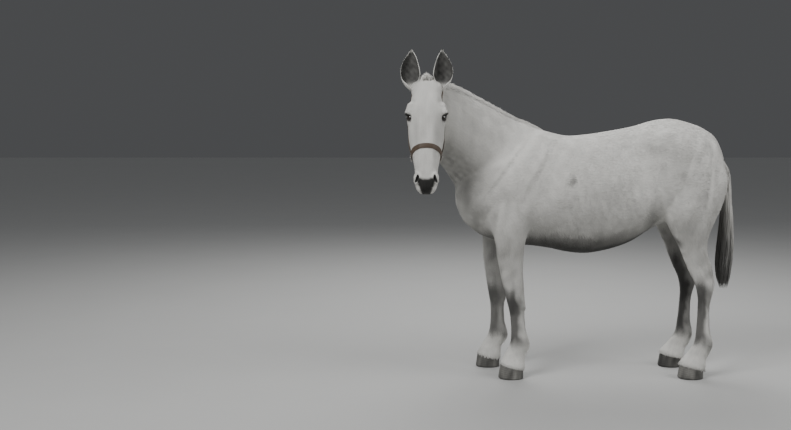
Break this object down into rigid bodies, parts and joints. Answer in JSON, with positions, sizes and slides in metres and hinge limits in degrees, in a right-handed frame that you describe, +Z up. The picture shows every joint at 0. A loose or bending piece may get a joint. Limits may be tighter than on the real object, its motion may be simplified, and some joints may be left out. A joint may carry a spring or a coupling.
{
  "type": "standing mule",
  "caption": "Life-size pale grey mule standing square, neck bent to its left and face turned to the side, clipped mane, leather head collar",
  "frame": {"origin": "On the floor, under the middle of the whole model's bounding box.", "axes": "+Z up; -X is the way the mule's body faces, from croup to breast; -Y is its left side, towards which its neck is bent and its face looks."},
  "size_m": [2.1098, 0.8682, 2.0117],
  "materials": {
    "pale_coat": "short pale grey coat",
    "hoof_horn": "dull dark horn",
    "eye": "wet dark eye",
    "tail_hair": "coarse long hair, white above and grey below",
    "strap_leather": "worn brown leather",
    "ring_steel": "dull steel wire"
  },
  "bodies": {
    "root": {"torso": "pale_coat", "neck": "pale_coat", "head": "pale_coat", "ear_left": "pale_coat", "ear_right": "pale_coat", "leg_fore_left": "pale_coat", "leg_fore_right": "pale_coat", "leg_hind_left": "pale_coat", "leg_hind_right": "pale_coat", "hoof_fore_left": "hoof_horn", "hoof_fore_right": "hoof_horn", "hoof_hind_left": "hoof_horn", "hoof_hind_right": "hoof_horn", "eye_left": "eye", "eye_right": "eye", "tail": "tail_hair", "halter_noseband": "strap_leather", "halter_headpiece": "strap_leather", "halter_ring_left": "ring_steel", "halter_ring_right": "ring_steel", "halter_ring_chin": "ring_steel"}
  },
  "joints": []
}
